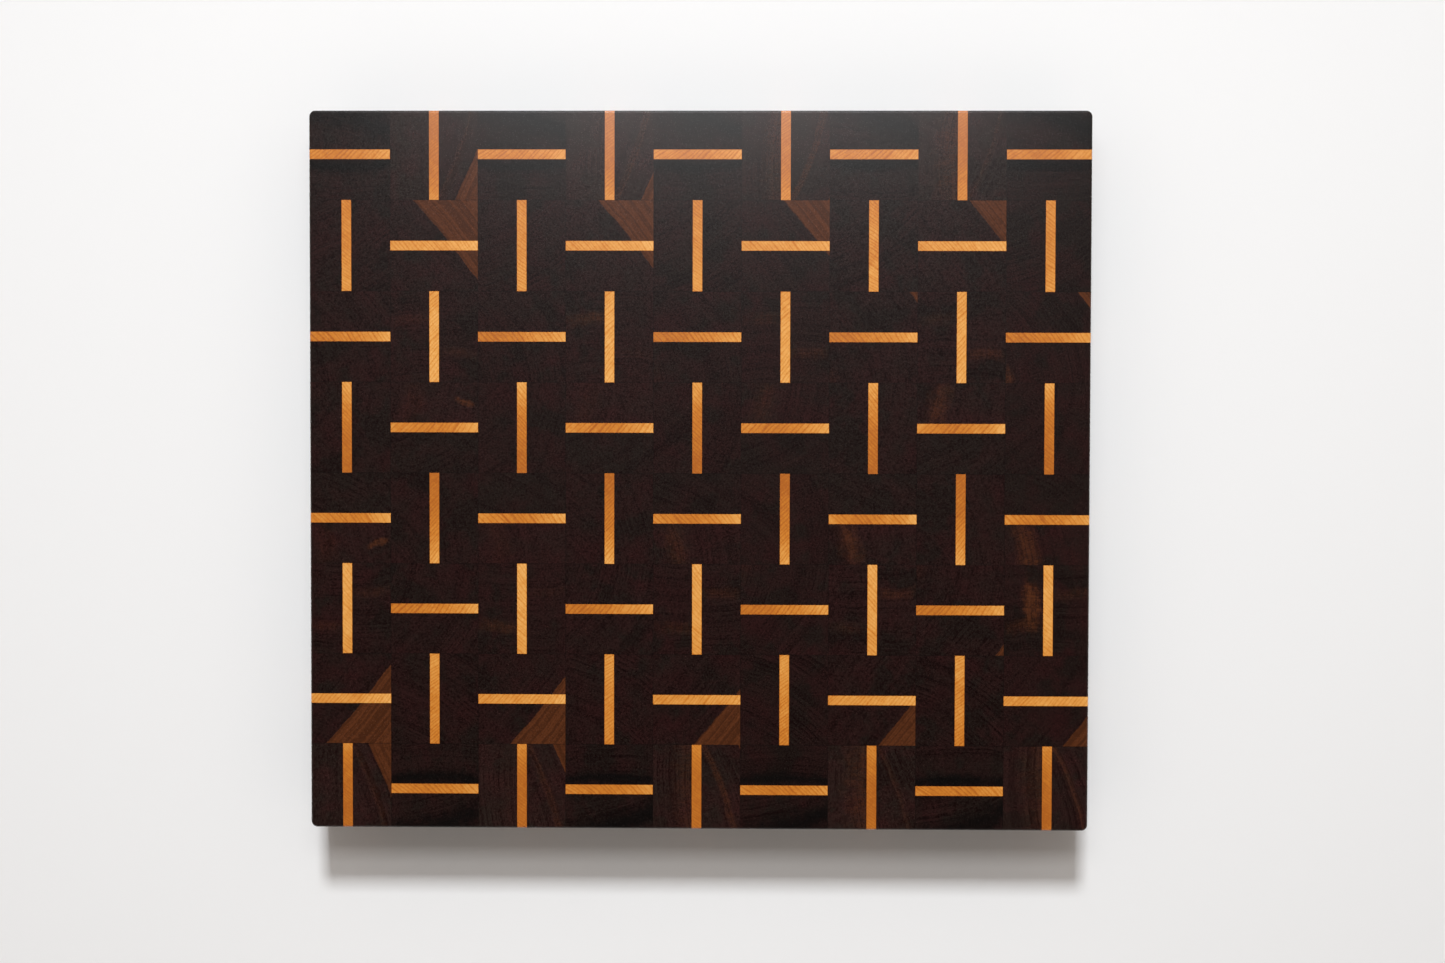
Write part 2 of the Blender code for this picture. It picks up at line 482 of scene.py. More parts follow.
def joint_line(graph):
    """1 on the hairline of glue between two pieces of wood, 0 away from it."""
    left, front, _ = graph.attribute("from_low")
    right, back, _ = graph.attribute("to_high")
    nearest = left.under(right).under(front).under(back)
    return nearest.step(GLUE_LINE, GLUE_LINE_CORE)


class Figure(NamedTuple):
    """Walnut's grain at a spot, as wires."""
    early: Wire                # spring wood of each ring
    late: Wire                 # summer wood
    clear: Wire                # how clearly the rings show
    bands: Wire
    mottle: Wire
    fine: Wire
    pores: Wire
    rays: Wire


def walnut_figure(graph, spot, depth):
    by_ring = spot.by_ring(graph, depth)
    phase = (depth / spot.ring + graph.noise(by_ring, UNEVEN_RINGS) * 3.0).rest()
    return Figure(
        early=phase.step(0.0, 0.05) * phase.step(0.22, 0.08),
        late=phase.step(0.50, 0.88) * phase.step(1.0, 0.93),
        clear=graph.noise(spot.slow, PATCHES).step(0.38, 0.66, 0.15, 1.0),
        bands=graph.noise(by_ring, BANDS) - 0.5,
        mottle=graph.noise(spot.slow, MOTTLE, 3.0, 0.6) - 0.5,
        fine=graph.noise(spot.fibre, FINE_GRAIN, 2.0, 0.75) - 0.5,
        pores=graph.cells(spot.fibre, PORES).step(0.30, 0.12),
        rays=graph.noise(spot.ray, RAYS, 1.0).step(0.45, 0.75))


def heartwood_colour(graph, wood, spot, figure):
    """Dark late wood into reddish or greenish early wood."""
    shade, red, contrast = graph.attribute("tone")
    strength = contrast * figure.clear
    rings = (figure.early * 0.7 - figure.late) * strength
    lines = abs(figure.bands).step(0.035, 0.0) * strength
    shadow = graph.noise(spot.slow, SHADOWS, 3.0, 0.6).step(0.50, 0.70)
    light = 0.64 + rings * 0.75 + lines * 0.8 - shadow * 0.20
    light = light + figure.bands + figure.mottle * 0.7 + figure.fine * 3.2
    light = light - figure.pores * 0.30 + figure.rays * 0.12
    hue = (graph.noise(spot.slow, HUES, 3.0) - 0.5) * 2.0 + red + 0.08 - shadow * 0.9
    lit = graph.mix(hue, rgba(wood.heart_green), rgba(wood.heart_red))
    return graph.scaled(graph.mix(light, rgba(wood.heart_dark), lit), shade)


def sapwood_colour(graph, wood, spot, figure):
    """Tan wood with fine lines along the rings and small pale dots."""
    dots = graph.cells(spot.fibre, SAP_DOTS).step(0.42, 0.18)
    light = 0.42 + figure.fine * 2.6 + figure.mottle * 1.2 + figure.bands * 1.6
    light = light + abs(figure.bands).step(0.030, 0.0) * 0.7
    light = light + (figure.early * 0.5 - figure.late) * 0.6 + dots * 0.30
    return graph.mix(light, rgba(wood.sap_dark), rgba(wood.sap_light))


def streaks(graph, spot, depth, ragged):
    """How strong the tan and the dark streak of a ply are at a spot."""
    out, along, width = graph.attribute("streak")
    length, first, change = graph.attribute("streak_reach")
    across = (abs(depth - out) / width + ragged).step(1.25, 0.0)
    beside = (abs(spot.along - along) / length + ragged).step(1.25, 0.2)
    fading = graph.noise(graph.point(spot.seed, spot.trunk, 0.5), COME_AND_GO)
    strength = (first + change * spot.trunk) * across * beside
    tan = (strength * fading.step(0.36, 0.60, 0.35, 1.15)).over(0.0).under(1.0)
    dark = (0.0 - strength).over(0.0).under(1.0)
    return tan, dark


def walnut_material(wood):
    """Oiled walnut: rings, colour bands, pores and rays, with sapwood, streaks and knots."""
    graph = new_material("oiled_walnut")
    spot = wood_spot(graph)
    heartwood, growth, knot_size = graph.attribute("sapwood")
    knot_out, knot_along, knot_trunk = graph.attribute("knot")

    # The rings bend round a knot, which is drawn out towards the bark and along the trunk
    out = (spot.depth - knot_out) * KNOT_STRETCH
    beside = spot.along - knot_along + spot.sway * KNOT_SWAY
    above = (spot.trunk - knot_trunk) * KNOT_TRUNK_STRETCH
    away = (out * out + beside * beside + above * above).root() / knot_size
    depth = spot.depth + away.step(3.0, 0.8) * knot_size * 0.5

    figure = walnut_figure(graph, spot, depth)
    heart = heartwood_colour(graph, wood, spot, figure)
    sap = sapwood_colour(graph, wood, spot, figure)
    ragged = (graph.noise(spot.slow, RAGGED_EDGES, 3.0) - 0.5) * 1.1
    threads = abs(graph.noise(spot.ray, THREADS) - 0.5).step(0.12, 0.0)
    speckle = figure.mottle + 0.1

    tan, dark = streaks(graph, spot, depth, ragged)
    tan = tan * (0.25 + threads * 0.25 + speckle * 0.9).over(0.0).under(0.7)
    edge = heartwood + growth * spot.trunk + figure.mottle * 0.0012
    is_sap = (depth - edge).step(-0.0002, 0.0004)
    crack = abs(beside / knot_size + figure.mottle * 0.8 - 0.3).step(0.09, 0.0)
    crack = crack * away.step(1.1, 0.6)
    knotty = (away + ragged * 0.9).step(1.3, 0.5) * (0.35 + speckle * 2.0 + threads * 0.4)
    knotty = knotty.over(crack).over(0.0).under(1.0)
    knot_wood = graph.mix(crack, sap, rgba(wood.sap_light))

    colour = graph.mix(dark * 0.85, heart, rgba(wood.heart_black))
    colour = graph.mix(tan, colour, sap)
    colour = graph.mix(is_sap, colour, sap)
    colour = graph.mix(knotty * 0.8, colour, knot_wood)
    colour = graph.mix(joint_line(graph) * 0.6, colour, rgba(wood.heart_black))

    height = figure.mottle * 0.5 + figure.fine * 0.2 - figure.pores * 0.2
    graph.surface(
        Base_Color=colour,
        Roughness=wood.roughness + figure.pores * 0.04 + figure.fine * 0.14,
        Specular_IOR_Level=wood.specular,
        Normal=graph.bump(height, GRAIN_RELIEF))
    return graph.material


def pale_material(wood):
    """The pale strips: honey-coloured, lighter and deeper along their length."""
    graph = new_material("oiled_pale_strip")
    spot = wood_spot(graph)
    start, middle, end = graph.attribute("tone")
    place, _, _ = graph.attribute("place")

    by_ring = spot.by_ring(graph, spot.depth)
    phase = (spot.depth / spot.ring + graph.noise(by_ring, PALE_UNEVEN_RINGS) * 2.5).rest()
    late = phase.step(0.55, 0.93) * phase.step(1.0, 0.95)
    mottle = graph.noise(spot.slow, PALE_MOTTLE, 3.0, 0.6) - 0.5
    fine = graph.noise(spot.fibre, PALE_FINE_GRAIN, 3.0, 0.75) - 0.5
    rays = graph.noise(spot.ray, PALE_RAYS, 1.0).step(0.40, 0.75)
    pores = graph.cells(spot.fibre, PALE_PORES).step(0.22, 0.08)

    # A curve through the tones of the strip's start, middle and end
    left = start * (1.0 - place) * (1.0 - 2.0 * place)
    mid = 4.0 * middle * place * (1.0 - place)
    right = end * place * (2.0 * place - 1.0)
    tone = left + mid + right + (graph.noise(spot.slow, PALE_DRIFT, 1.0) - 0.5) * 0.35
    tone = tone - late * 0.30 + mottle * 0.45 + fine * 0.55
    tone = tone + rays * 0.06 - pores * 0.12 - joint_line(graph) * 0.6
    colour = graph.ramp(tone, (
        (0.0, rgba(wood.pale_deep)), (0.35, rgba(wood.pale_amber)),
        (0.70, rgba(wood.pale_honey)), (1.0, rgba(wood.pale_cream))))

    height = fine * 0.2 - pores * 0.5 - late * 0.1
    graph.surface(
        Base_Color=colour,
        Roughness=wood.roughness + fine * 0.10,
        Specular_IOR_Level=wood.pale_specular,
        Normal=graph.bump(height, GRAIN_RELIEF))
    return graph.material


# ------------------------------------ rubber and steel

RUBBER_SKIN = 2600.0       # repeats to a metre
RUBBER_BLOOM = 190.0
TURNING_MARKS = 9000.0
SMUDGES = 600.0
RUBBER_RELIEF = 0.00005
STEEL_RELIEF = 0.00001
DUST = (0.060, 0.058, 0.055, 1.0)
DULL_STEEL = (0.48, 0.47, 0.45, 1.0)


def rubber_material(hardware):
    """Moulded black rubber with a dusty bloom and a fine grained skin."""
    graph = new_material("black_rubber")
    at = graph.node("ShaderNodeTexCoord", output="Object")
    skin = graph.noise(at, RUBBER_SKIN, 3.0, 0.6)
    bloom = graph.noise(at, RUBBER_BLOOM, 4.0, 0.6).step(0.42, 0.72)
    graph.surface(
        Base_Color=graph.mix(bloom * 0.35, rgba(hardware.rubber), DUST),
        Roughness=0.62 + bloom * 0.18 + (skin - 0.5) * 0.15,
        Specular_IOR_Level=0.35,
        Normal=graph.bump(skin, RUBBER_RELIEF))
    return graph.material


def steel_material(name, hardware):
    """Stainless steel with turning marks round the axis of each foot."""
    graph = new_material(name)
    at = graph.node("ShaderNodeTexCoord", output="Object")
    x, y, z = graph.split(at)
    axis = extents("screw_back_right")[0]
    across = abs(x) - axis.x
    up = abs(y) - axis.y
    radius = (across * across + up * up).root()
    marks = graph.noise(graph.point(radius, z, 0.0), TURNING_MARKS, 2.0, 0.6)
    smudge = graph.noise(at, SMUDGES, 3.0, 0.6)
    graph.surface(
        Base_Color=graph.mix((smudge - 0.3) * 0.5, rgba(hardware.steel), DULL_STEEL),
        Metallic=1.0,
        Roughness=0.22 + marks * 0.16 + (smudge - 0.5) * 0.10,
        Normal=graph.bump(marks, STEEL_RELIEF))
    return graph.material


# ------------------------------------ the board

class Layout:
    """Glue lines and pitches of the board, read from the frame."""

    def __init__(self):
        slices = [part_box(f"slice_{number}_blocks_1_2") for number in range(1, SLICES + 1)]
        pairs = [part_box(f"slice_1_blocks_{first}_{first + 1}")
                 for first in range(1, BLOCKS, BLOCKS_PER_NODE)]
        gaps = len(slices) - 2
        self.slice_pitch = (slices[-1][0].x - slices[1][0].x) / gaps
        self.first_line = (slices[0][1].x + slices[1][0].x) / 2
        self.block_pitch = (pairs[-1][0].y - pairs[1][0].y) / (2 * BLOCKS_PER_NODE)
        self.front_line = (pairs[0][1].y + pairs[1][0].y) / 2
        self.low = Vector((slices[0][0].x, pairs[0][0].y, slices[0][0].z))
        self.high = Vector((slices[-1][1].x, pairs[-1][1].y, slices[0][1].z))
        self.middle_height = (self.low.z + self.high.z) / 2
        self.thickness = self.high.z - self.low.z

    def middle(self, column, block):
        """The middle of a block in plan. Columns and blocks count from 1."""
        return (self.first_line + (column - 1.5) * self.slice_pitch,
                self.front_line + (block - BLOCKS_PER_NODE - 0.5) * self.block_pitch)

    def blocks(self, column, kerf):
        return [Block(self, column, block, kerf) for block in range(1, BLOCKS + 1)]


class Block:
    """Which stick a block was sawn from, and how it lies."""

    def __init__(self, layout, column, block, kerf):
        row = BLOCKS + 1 - block
        even = column % 2 == 0
        self.layout = layout
        self.x, self.y = layout.middle(column, block)
        self.number = row if even else block
        self.stick = STICKS[self.number - 1]
        self.flip = 1 if even else -1
        self.lies_across = (row + column) % 2 == 0
        self.trunk = (column - 1) * (layout.thickness + kerf)

    def span(self, start, end):
        """The corners of a layer between two distances from the block's middle."""
        half_x = self.layout.slice_pitch / 2
        half_y = self.layout.block_pitch / 2
        if self.lies_across:
            ends = sorted((self.flip * start, self.flip * end))
            return (self.x - half_x, self.y + ends[0]), (self.x + half_x, self.y + ends[1])
        return (self.x + start, self.y - half_y), (self.x + end, self.y + half_y)

    def layers(self, strip):
        """The first ply, the strip and the second ply, each with its corners in plan."""
        half = strip / 2
        if self.lies_across:
            far = self.layout.block_pitch / 2
            return (self.span(half, far), self.span(-half, half), self.span(-far, -half))
        far = self.layout.slice_pitch / 2
        return (self.span(-far, -half), self.span(-half, half), self.span(half, far))

    def place(self, spot):
        """A spot in the stick's own directions: right, up and along the trunk."""
        return (spot.x - self.x, self.flip * (spot.y - self.y),
                self.trunk - self.flip * (spot.z - self.layout.middle_height))

    def grain(self, spot, bark):
        """A spot as distances towards the bark, along the rings and along the trunk."""
        right, up, trunk = self.place(spot)
        turn = math.radians(bark)
        return Vector((right * math.cos(turn) + up * math.sin(turn),
                       up * math.cos(turn) - right * math.sin(turn), trunk))

    def share_along(self, spot):
        """How far along its block a spot is, 0 at the left or top end of the strip."""
        right, up, _ = self.place(spot)
        if self.lies_across:
            return 0.5 + right / self.layout.slice_pitch
        return 0.5 - up / self.layout.block_pitch


def board_blank(layout, sizes):
    """The outside of the whole board: rounded corners in plan, eased edges."""
    size = layout.high - layout.low
    middle = (layout.high + layout.low) / 2
    blank = bmesh.new()
    bmesh.ops.create_cube(
        blank, size=1.0, matrix=Matrix.Translation(middle) @ Matrix.Diagonal((*size, 1.0)))
    upright = [edge for edge in blank.edges
               if abs(edge.verts[0].co.z - edge.verts[1].co.z) > size.z / 2]
    bmesh.ops.bevel(blank, geom=upright, offset=sizes.corner, segments=sizes.corner_steps,
                    profile=0.5, affect="EDGES", material=-1)
    rims = [edge for edge in blank.edges
            if abs(edge.verts[0].co.z - edge.verts[1].co.z) < size.z / 2]
    bmesh.ops.bevel(blank, geom=rims, offset=sizes.eased, segments=sizes.eased_steps,
                    profile=0.5, affect="EDGES", material=-1)
    return blank


def saw(work, axis, limit, side=1.0, clear=False):
    """Cuts a shape across an axis. With clear, what lies past the cut is taken away."""
    normal = Vector((0.0, 0.0, 0.0))
    normal[axis] = side
    return bmesh.ops.bisect_plane(
        work, geom=work.verts[:] + work.edges[:] + work.faces[:], dist=SAW_LIMIT,
        plane_co=normal * side * limit, plane_no=normal, clear_outer=clear)


def cut_out(blank, low, high):
    """The blank's share between two corners in plan, closed where it was sawn."""
    share = blank.copy()
    for axis in range(2):
        for limit, side in ((low[axis], -1.0), (high[axis], 1.0)):
            cut = saw(share, axis, limit, side, clear=True)
            rim = [part for part in cut["geom_cut"] if isinstance(part, bmesh.types.BMEdge)]
            if rim:
                bmesh.ops.edgeloop_fill(share, edges=rim)
    bmesh.ops.recalc_face_normals(share, faces=share.faces[:])
    return share


JOINT_LAYERS = ("from_low", "to_high")
WALNUT_LAYERS = ("grain", "log", "tone", "sapwood", "streak", "streak_reach", "knot",
                 *JOINT_LAYERS)
STRIP_LAYERS = ("grain", "log", "tone", "place", *JOINT_LAYERS)


def ply_marks(block, ply, seed, slices_length):
    """What a walnut ply's spots carry, as a function from a spot to its attributes."""
    streak = ply.streak
    slice_length = slices_length / (SLICES - 1)
    fixed = {
        "log": Vector((ply.pith * MM, seed, ply.ring * MM)),
        "tone": Vector((ply.shade, ply.red, ply.contrast)),
        "sapwood": Vector((ply.heartwood * MM, ply.growth * MM / slice_length,
                           ply.knot.size * MM)),
        "streak": Vector((streak.outward * MM, streak.along * MM, streak.width * MM)),
        "streak_reach": Vector((streak.length * MM, streak.first,
                                (streak.last - streak.first) / slices_length)),
        "knot": Vector(ply.knot[:3]) * MM,
    }
    return lambda spot: {**fixed, "grain": block.grain(spot, ply.bark)}


def strip_marks(block, pale, seed):
    """The same for a pale strip."""
    fixed = {
        "log": Vector((STRIP_PITH, seed, pale.ring * MM)),
        "tone": Vector((pale.start, pale.middle, pale.end)),
    }
    return lambda spot: {**fixed, "grain": block.grain(spot, pale.bark),
                         "place": Vector((block.share_along(spot), 0.0, 0.0))}


def mark(share, layer_names, marks, span):
    """Writes the attributes on every vertex of a piece of wood."""
    layers = {name: share.verts.layers.float_vector.new(name) for name in layer_names}
    low, high = (Vector((*corner, 0.0)) for corner in span)
    for vert in share.verts:
        for name, value in marks(vert.co).items():
            vert[layers[name]] = value
        vert[layers["from_low"]] = vert.co - low
        vert[layers["to_high"]] = high - vert.co


def take_in(whole, share):
    """Adds a shape to another and frees it."""
    passing = bpy.data.meshes.new("passing")
    share.to_mesh(passing)
    share.free()
    whole.from_mesh(passing)
    bpy.data.meshes.remove(passing)


def place_piece(name, mesh, material, nodes):
    """Puts a piece in the scene in place of the frame's own nodes."""
    mesh.materials.append(material)
    piece = bpy.data.objects.new(name, mesh)
    bpy.context.scene.collection.objects.link(piece)
    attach(piece, BODY)
    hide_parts(*nodes)


def wooden_piece(name, shares, layer_names, material, number):
    """Joins the sawn pieces of one wood in one slice."""
    whole = bmesh.new()
    for layer in layer_names:
        whole.verts.layers.float_vector.new(layer)
    for share in shares:
        take_in(whole, share)
    mesh = bpy.data.meshes.new(name)
    whole.to_mesh(mesh)
    whole.free()
    nodes = [f"slice_{number}_blocks_{first}_{first + 1}"
             for first in range(1, BLOCKS, BLOCKS_PER_NODE)]
    place_piece(name, mesh, material, nodes)


class BOARD_OT_walnut(Operator):
    """Make the walnut plies, sixteen to a slice"""
    bl_idname = "board.walnut"
    bl_label = "Walnut plies"

    def execute(self, context):
        sizes = context.scene.board_sizes
        layout = Layout()
        blank = board_blank(layout, sizes)
        material = walnut_material(context.scene.board_wood)
        length = (SLICES - 1) * (layout.thickness + sizes.kerf)
        for column in range(1, SLICES + 1):
            shares = []
            for block in layout.blocks(column, sizes.kerf):
                first, _, second = block.layers(sizes.strip)
                for side, ply, span in ((0, block.stick.first, first),
                                        (1, block.stick.second, second)):
                    share = cut_out(blank, *span)
                    seed = SEED_STEP * (2 * block.number + side)
                    mark(share, WALNUT_LAYERS, ply_marks(block, ply, seed, length), span)
                    shares.append(share)
            wooden_piece(f"slice_{column}_walnut", shares, WALNUT_LAYERS, material,
                         column)
        blank.free()
        return {"FINISHED"}


class BOARD_OT_strips(Operator):
    """Make the pale strips, eight to a slice"""
    bl_idname = "board.strips"
    bl_label = "Pale strips"

    def execute(self, context):
        sizes = context.scene.board_sizes
        layout = Layout()
        blank = board_blank(layout, sizes)
        material = pale_material(context.scene.board_wood)
        for column in range(1, SLICES + 1):
            shares = []
            for block in layout.blocks(column, sizes.kerf):
                span = block.layers(sizes.strip)[1]
                share = cut_out(blank, *span)
                seed = SEED_STEP * block.number + STRIP_SEEDS
                mark(share, STRIP_LAYERS, strip_marks(block, block.stick.strip, seed), span)
                shares.append(share)
            wooden_piece(f"slice_{column}_strips", shares, STRIP_LAYERS, material,
                         column)
        blank.free()
        return {"FINISHED"}


# ------------------------------------ feet and screws

CORNERS = tuple(f"{end}_{side}" for end in ("front", "back") for side in ("left", "right"))
ROUND_STEPS = 72
SCREW_STEPS = 48
FILLET_STEPS = 5
SHARP_ANGLE = math.radians(35.0)
DRIVE_TAPER = 0.72         # of the cross recess, from the head's face to its floor


def rounded(corners):
    """A profile of (radius, height, fillet) corners as (radius, height) points."""
    points = []
    for number, (radius, height, fillet) in enumerate(corners):
        spot = Vector((radius, height))
        if not fillet:
            points.append(spot)
            continue
        before = Vector(corners[number - 1][:2]) - spot
        after = Vector(corners[(number + 1) % len(corners)][:2]) - spot
        start = spot + before.normalized() * fillet
        end = spot + after.normalized() * fillet
        for step in range(FILLET_STEPS + 1):
            t = step / FILLET_STEPS
            points.append(start * (1 - t) ** 2 + spot * 2 * t * (1 - t) + end * t ** 2)
    return points


def turned(points, steps, closed):
    """A profile of (radius, height) points turned about the Z axis."""
    work = bmesh.new()
    line = [work.verts.new((radius, 0.0, height)) for radius, height in points]
    pairs = list(zip(line, line[1:] + line[:1]))
    edges = [work.edges.new(pair) for pair in (pairs if closed else pairs[:-1])]
    bmesh.ops.spin(work, geom=line + edges, cent=(0.0, 0.0, 0.0), axis=(0.0, 0.0, 1.0),
                   angle=math.tau, steps=steps, use_merge=True)
    bmesh.ops.remove_doubles(work, verts=work.verts[:], dist=SAME_CORNER)
    return work


def round_mesh(name, work, spot):
    """The smooth mesh of a round shape at its place."""
    bmesh.ops.recalc_face_normals(work, faces=work.faces[:])
    bmesh.ops.translate(work, verts=work.verts[:], vec=spot)
    mesh = bpy.data.meshes.new(name)
    work.to_mesh(mesh)
    work.free()
    mesh.shade_smooth()
    mesh.set_sharp_from_angle(angle=SHARP_ANGLE)
    return mesh


def extents(node):
    """A round node's axis in plan, its radius and how high it begins and ends."""
    low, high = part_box(node)
    spot = Vector(((low.x + high.x) / 2, (low.y + high.y) / 2, 0.0))
    return spot, (high.x - low.x) / 2, low.z, high.z


def foot_shape(sizes, radius, base, top):
    """A tapered bumper with a stepped hole for the screw."""
    ledge = base + sizes.recess_depth
    return turned(rounded((
        (sizes.foot_bore, top, 0.0),
        (radius, top, sizes.foot_lip / 2),
        (radius - sizes.foot_taper, base, sizes.foot_lip),
        (sizes.recess, base, sizes.foot_lip / 2),
        (sizes.recess, ledge, sizes.foot_lip / 4),
        (sizes.foot_bore, ledge, 0.0))), ROUND_STEPS, closed=True)


def washer_shape(sizes, radius, base, top):
    """A flat washer with its edges rolled over as it was stamped."""
    edge = (top - base) / 5
    return turned(rounded((
        (sizes.washer_bore, top, edge / 2),
        (radius, top, edge / 2),
        (radius, base, edge * 1.5),
        (sizes.washer_bore, base, edge * 1.5))), ROUND_STEPS, closed=True)


def cross_recess(work, sizes, base):
    """Sinks a tapered cross into the flat of a screw head."""
    half = sizes.drive_length / 2
    thin = sizes.drive_width / 2
    for axis in range(2):
        for limit in (-half, -thin, thin, half):
            saw(work, axis, limit)
    cross = []
    for face in work.faces:
        spot = face.calc_center_median()
        across, up = sorted((abs(spot.x), abs(spot.y)))
        if across < thin and up < half and spot.z < base + sizes.drive_depth / 100:
            cross.append(face)
    sunk = bmesh.ops.extrude_face_region(work, geom=cross)
    bmesh.ops.delete(work, geom=cross, context="FACES")
    floor = [part for part in sunk["geom"] if isinstance(part, bmesh.types.BMVert)]
    bmesh.ops.scale(work, verts=floor, vec=(DRIVE_TAPER, DRIVE_TAPER, 1.0))
    bmesh.ops.translate(work, verts=floor, vec=(0.0, 0.0, sizes.drive_depth))


def thread(sizes, start, tip, radius):
    """A ridge that winds along the shank and runs out towards the point."""
    work = bmesh.new()
    flank = sizes.pitch * 0.30
    inner = sizes.core * 0.9
    ridge = [work.verts.new(spot) for spot in (
        (inner, 0.0, start - flank), (radius, 0.0, start), (inner, 0.0, start + flank))]
    edges = [work.edges.new((ridge[number], ridge[number - 2])) for number in range(3)]
    turns = (tip - start - 2 * flank) / sizes.pitch
    steps = round(SCREW_STEPS * turns / 2)
    last = bmesh.ops.spin(work, geom=ridge + edges, cent=(0.0, 0.0, 0.0),
                          axis=(0.0, 0.0, 1.0), angle=math.tau * turns, steps=steps,
                          dvec=(0.0, 0.0, sizes.pitch * turns / steps))
    end = [part for part in last["geom_last"] if isinstance(part, bmesh.types.BMEdge)]
    bmesh.ops.edgeloop_fill(work, edges=edges)
    bmesh.ops.edgeloop_fill(work, edges=end)
    for vert in work.verts:
        left = max(0.0, (tip - vert.co.z) / sizes.point)
        if left < 1.0:
            vert.co.x *= left
            vert.co.y *= left
    bmesh.ops.recalc_face_normals(work, faces=work.faces[:])
    return work


def screw_shape(sizes, radius, base, tip):
    """A pan head with a cross recess, a threaded shank and a point."""
    seat = base + sizes.head_height
    neck = sizes.shank * 0.9
    work = turned(rounded((
        (0.0, tip, 0.0),
        (sizes.core, tip - sizes.point, 0.0),
        (sizes.core, seat + sizes.pitch, 0.0),
        (neck, seat + sizes.pitch / 2, 0.0),
        (neck, seat, 0.0),
        (radius, seat, sizes.head_height * 0.08),
        (radius * 0.97, seat - 0.55 * sizes.head_height, sizes.head_height * 0.25),
        (radius * 0.66, base, sizes.head_height * 0.45),
        (0.0, base, 0.0))), SCREW_STEPS, closed=False)
    cross_recess(work, sizes, base)
    take_in(work, thread(sizes, seat + sizes.pitch * 1.2, tip, sizes.shank))
    return work


def make_hardware(kind, shape, material, sizes):
    """One piece of a kind at each corner of the board."""
    for corner in CORNERS:
        node = f"{kind}_{corner}"
        spot, radius, base, top = extents(node)
        name = f"{corner}_{kind}"
        mesh = round_mesh(name, shape(sizes, radius, base, top), spot)
        place_piece(name, mesh, material, [node])


class BOARD_OT_feet(Operator):
    """Make the rubber feet"""
    bl_idname = "board.feet"
    bl_label = "Rubber feet"

    def execute(self, context):
        sizes = context.scene.board_hardware
        make_hardware("foot", foot_shape, rubber_material(sizes), sizes)
        return {"FINISHED"}


class BOARD_OT_washers(Operator):
    """Make the washers in the feet"""
    bl_idname = "board.washers"
    bl_label = "Washers"

    def execute(self, context):
        sizes = context.scene.board_hardware
        steel = steel_material("stamped_steel", sizes)
        make_hardware("washer", washer_shape, steel, sizes)
        return {"FINISHED"}


class BOARD_OT_screws(Operator):
    """Make the screws that hold the feet"""
    bl_idname = "board.screws"
    bl_label = "Screws"

    def execute(self, context):
        sizes = context.scene.board_hardware
        steel = steel_material("turned_steel", sizes)
        make_hardware("screw", screw_shape, steel, sizes)
        return {"FINISHED"}


# ------------------------------------ stage

FLOOR_RADIUS = 1.9
CURVE_RADIUS = 1.0
WALL_HEIGHT = 0.6
STAGE_STEPS = 96
CURVE_STEPS = 16
ROOM_TINT = (1.12, 0.99, 0.89, 1.0)
DARK_ABOVE = (0.95, 0.72)  # the room's light fades out between these heights
KEY_PLACE = (-0.06, 2.60, 2.94)
KEY_SIZE = (0.60, 0.56)
KEY_COLOUR = (0.936, 0.968, 1.0)
KEY_SPREAD = 70.0
SHEEN_PLACE = (-0.01, 0.61, 1.45)
SHEEN_SIZE = (0.72, 0.30)
CAMERA_PLACE = (0.0280, 0.0255, 1.0680)
CAMERA_TURN = (-1.690, 0.915, 0.136)
CAMERA_CLIP = 0.01


def pale_bowl(colour):
    """A round floor that curves up into a low wall, so that every side has a backdrop."""
    turns = [math.radians(90.0 * step / CURVE_STEPS) for step in range(CURVE_STEPS + 1)]
    curve = [(FLOOR_RADIUS + CURVE_RADIUS * math.sin(turn),
              CURVE_RADIUS * (1.0 - math.cos(turn))) for turn in turns]
    rim = (FLOOR_RADIUS + CURVE_RADIUS, CURVE_RADIUS + WALL_HEIGHT)
    work = turned([(0.0, 0.0), *curve, rim], STAGE_STEPS, closed=False)
    bmesh.ops.recalc_face_normals(work, faces=work.faces[:])
    if sum(face.normal.z * face.calc_area() for face in work.faces) < 0.0:
        bmesh.ops.reverse_faces(work, faces=work.faces[:])
    mesh = bpy.data.meshes.new("floor")
    work.to_mesh(mesh)
    work.free()
    mesh.shade_smooth()
    graph = new_material("pale_floor")
    graph.surface(Base_Color=rgba(colour), Roughness=0.9, Specular_IOR_Level=0.1)
    mesh.materials.append(graph.material)
    floor = bpy.data.objects.new("floor", mesh)
    bpy.context.scene.collection.objects.link(floor)


def soft_light(name, place, towards, size, power, colour=(1.0, 1.0, 1.0), spread=180.0):
    """A rectangular soft light that faces a spot."""
    data = bpy.data.lights.new(name, "AREA")
    data.shape = "RECTANGLE"
    data.size, data.size_y = size
    data.energy = power
    data.color = colour
    data.spread = math.radians(spread)
    light = bpy.data.objects.new(name, data)
    light.location = place
    light.rotation_euler = (Vector(towards) - Vector(place)).to_track_quat("-Z", "Y").to_euler()
    bpy.context.scene.collection.objects.link(light)


def room_light(strength):
    """Light from all round and below. The ceiling right above stays dark."""
    world = bpy.data.worlds.new("room")
    graph = Graph(world, "Background")
    _, _, up = graph.split(graph.node("ShaderNodeTexCoord", output="Generated"))
    graph.surface(Color=ROOM_TINT, Strength=up.step(*DARK_ABOVE, 0.0, strength))
    bpy.context.scene.world = world


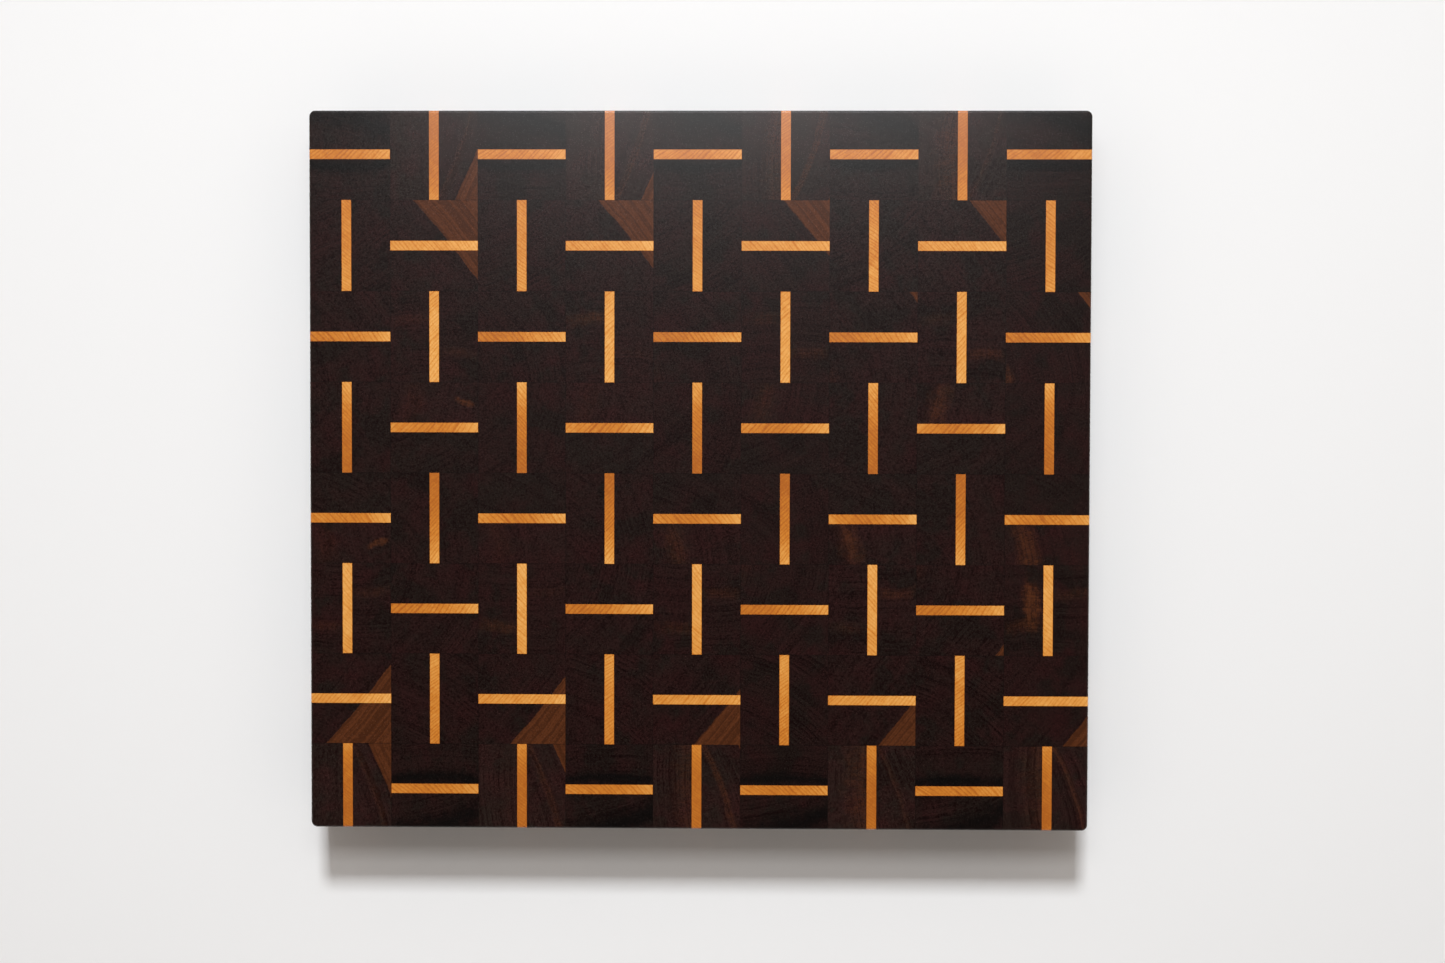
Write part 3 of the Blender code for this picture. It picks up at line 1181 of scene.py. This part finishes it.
def camera(lens):
    """Straight above the board, a little to the right of and behind its middle."""
    data = bpy.data.cameras.new("camera")
    data.lens = lens
    data.clip_start = CAMERA_CLIP
    made = bpy.data.objects.new("camera", data)
    made.location = CAMERA_PLACE
    made.rotation_euler = [math.radians(turn) for turn in CAMERA_TURN]
    bpy.context.scene.collection.objects.link(made)
    bpy.context.scene.camera = made


class BOARD_OT_stage(Operator):
    """Make the floor, the lights and the camera"""
    bl_idname = "board.stage"
    bl_label = "Stage"

    def execute(self, context):
        stage = context.scene.board_stage
        pale_bowl(stage.floor)
        board = (0.0, 0.0, cad_box[1].z)
        soft_light("key_light", KEY_PLACE, board, KEY_SIZE, stage.key, KEY_COLOUR, KEY_SPREAD)
        soft_light("sheen_light", SHEEN_PLACE, board, SHEEN_SIZE, stage.sheen)
        room_light(stage.room)
        context.scene.view_settings.view_transform = "Standard"
        camera(stage.lens)
        return {"FINISHED"}


# ------------------------------------ sidebar and registration

PARTS = (BOARD_OT_walnut, BOARD_OT_strips, BOARD_OT_feet, BOARD_OT_washers, BOARD_OT_screws,
         BOARD_OT_stage)
SETTINGS = {
    "board_sizes": BoardSettings,
    "board_wood": WoodSettings,
    "board_hardware": HardwareSettings,
    "board_stage": StageSettings,
}


class BOARD_PT_sidebar(Panel):
    """Sizes, colours and the pieces of the cutting board"""
    bl_idname = "BOARD_PT_sidebar"
    bl_label = "Cutting board"
    bl_space_type = "VIEW_3D"
    bl_region_type = "UI"
    bl_category = "Board"

    def draw(self, context):
        layout = self.layout
        for part in PARTS:
            layout.operator(part.bl_idname)
        for name in SETTINGS:
            settings = getattr(context.scene, name)
            box = layout.box()
            for field in settings.bl_rna.properties:
                if field.identifier not in ("rna_type", "name"):
                    box.prop(settings, field.identifier)


CLASSES = (*SETTINGS.values(), *PARTS, BOARD_PT_sidebar)


def register():
    for cls in CLASSES:
        bpy.utils.register_class(cls)
    for name, cls in SETTINGS.items():
        setattr(bpy.types.Scene, name, PointerProperty(type=cls))


def unregister():
    for name in SETTINGS:
        delattr(bpy.types.Scene, name)
    for cls in reversed(CLASSES):
        bpy.utils.unregister_class(cls)


def main():
    register()
    bpy.ops.board.walnut()
    bpy.ops.board.strips()
    bpy.ops.board.feet()
    bpy.ops.board.washers()
    bpy.ops.board.screws()
    bpy.ops.board.stage()


if __name__ == "__main__":
    main()
